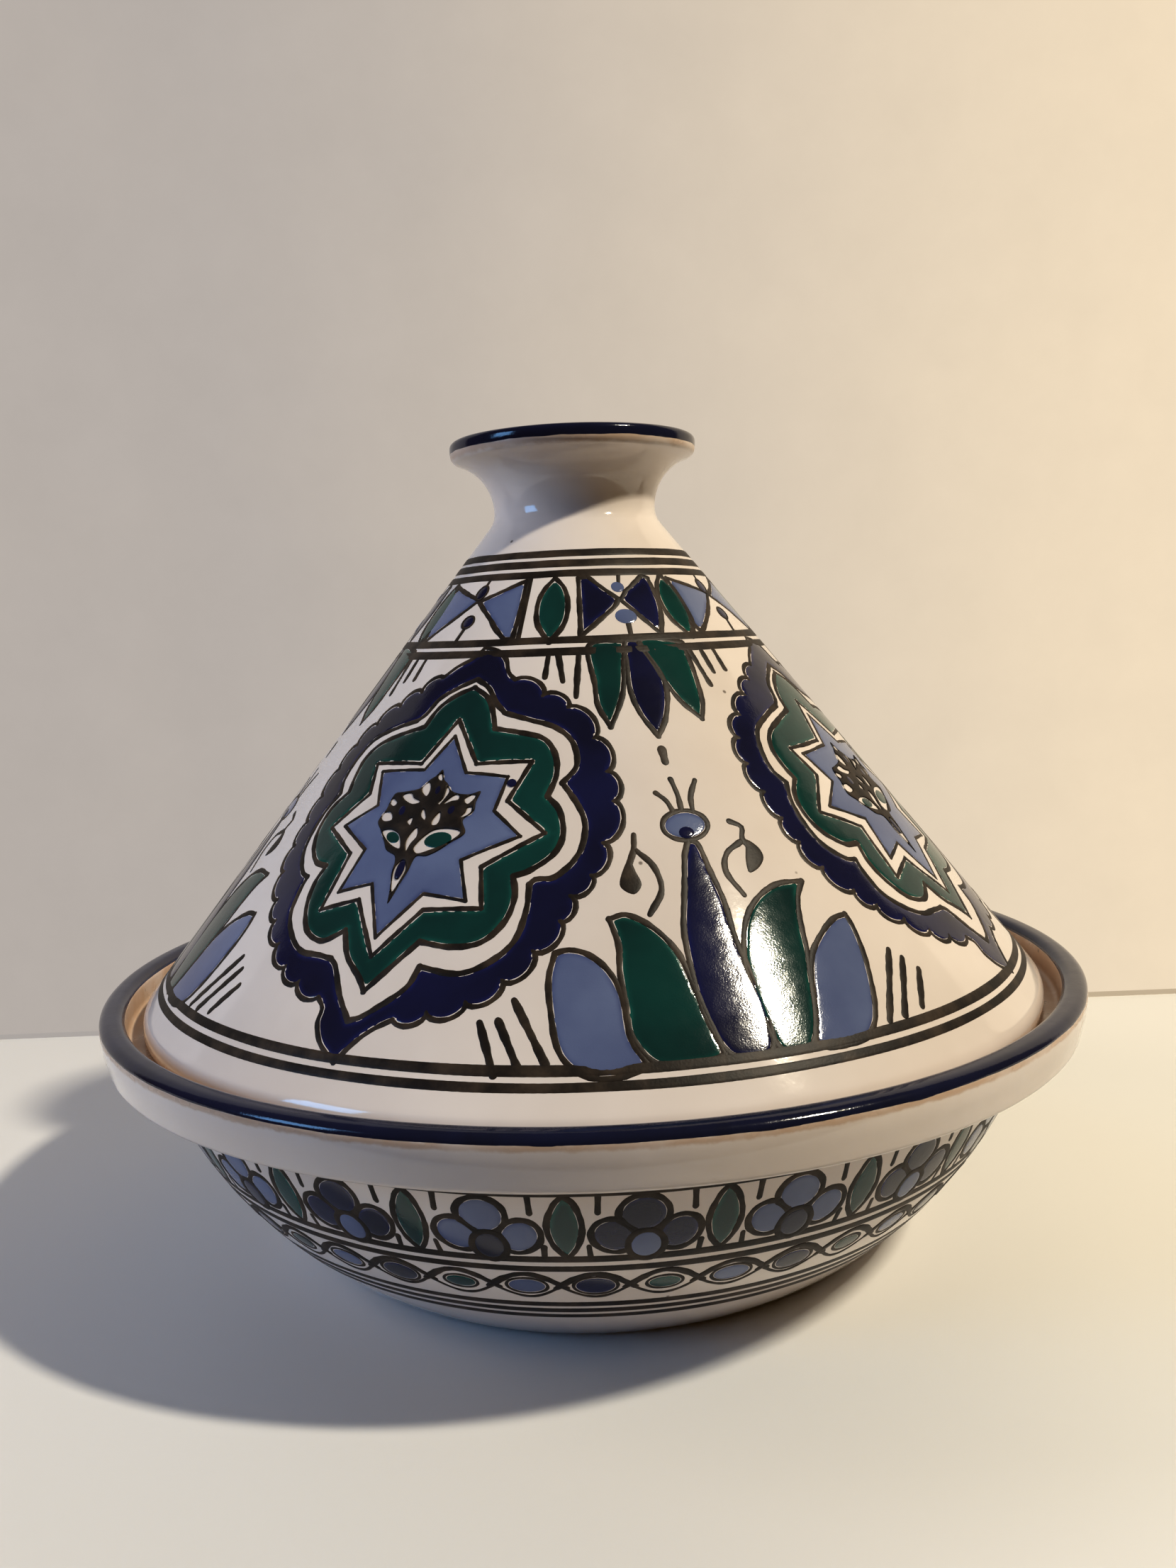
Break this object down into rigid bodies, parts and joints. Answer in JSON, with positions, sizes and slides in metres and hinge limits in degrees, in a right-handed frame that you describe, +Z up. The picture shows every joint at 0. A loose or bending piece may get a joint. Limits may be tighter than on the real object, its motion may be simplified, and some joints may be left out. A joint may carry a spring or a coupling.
{
  "type": "tagine pot",
  "caption": "Glazed earthenware tagine: a shallow footed dish with a collar, and the tall conical lid with a flared hollow knob that stands in it.",
  "frame": {"origin": "on the plane that the foot stands on, at the axis that the dish and the lid are turned about", "axes": "+Z up along the axis of both pieces; the pot is round, so +X and +Y are only the directions that the painting starts from"},
  "size_m": [0.3, 0.3, 0.2418],
  "materials": {
    "white_glaze": "gloss",
    "cobalt_enamel": "gloss",
    "sky_enamel": "gloss",
    "green_enamel": "gloss",
    "dark_outline": "satin"
  },
  "bodies": {
    "dish": {"dish": "white_glaze"},
    "lid": {"lid": "white_glaze"}
  },
  "joints": [
    {"name": "lid_lift", "type": "slide", "parent": "dish", "child": "lid", "axis": [0, 0, 1], "range_m": [0, 0.15]}
  ]
}
